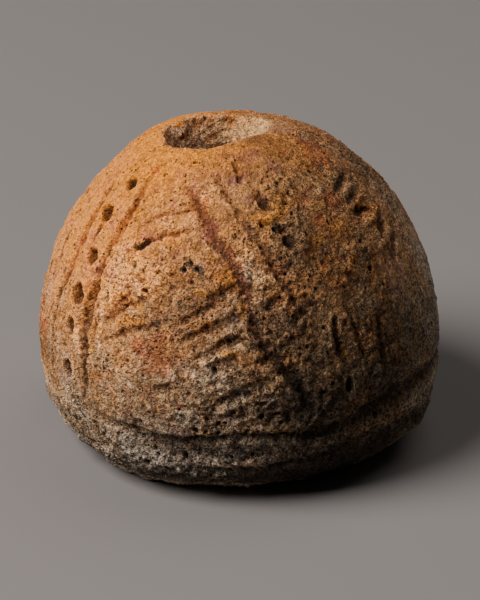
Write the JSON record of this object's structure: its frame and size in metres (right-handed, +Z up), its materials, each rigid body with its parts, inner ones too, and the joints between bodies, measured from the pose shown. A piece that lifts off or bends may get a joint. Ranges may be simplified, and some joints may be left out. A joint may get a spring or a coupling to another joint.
{
  "type": "clay spindle whorl",
  "caption": "Domed fired-clay spindle whorl with an upright spindle hole, incised lines, short slanted strokes and pricked dots, standing on its flat base.",
  "frame": {"origin": "middle of the outline seen from above, on the plane of the flat base", "axes": "+Z up along the spindle hole, from the flat base to the domed top; -Y is the front that shows best; +X is to the right seen from the front"},
  "size_m": [0.04, 0.04, 0.0318],
  "materials": {
    "fired_clay": "unglazed, rough, weathered, with sooty patches and pale crust"
  },
  "bodies": {
    "root": {"whorl": "fired_clay"}
  },
  "joints": []
}
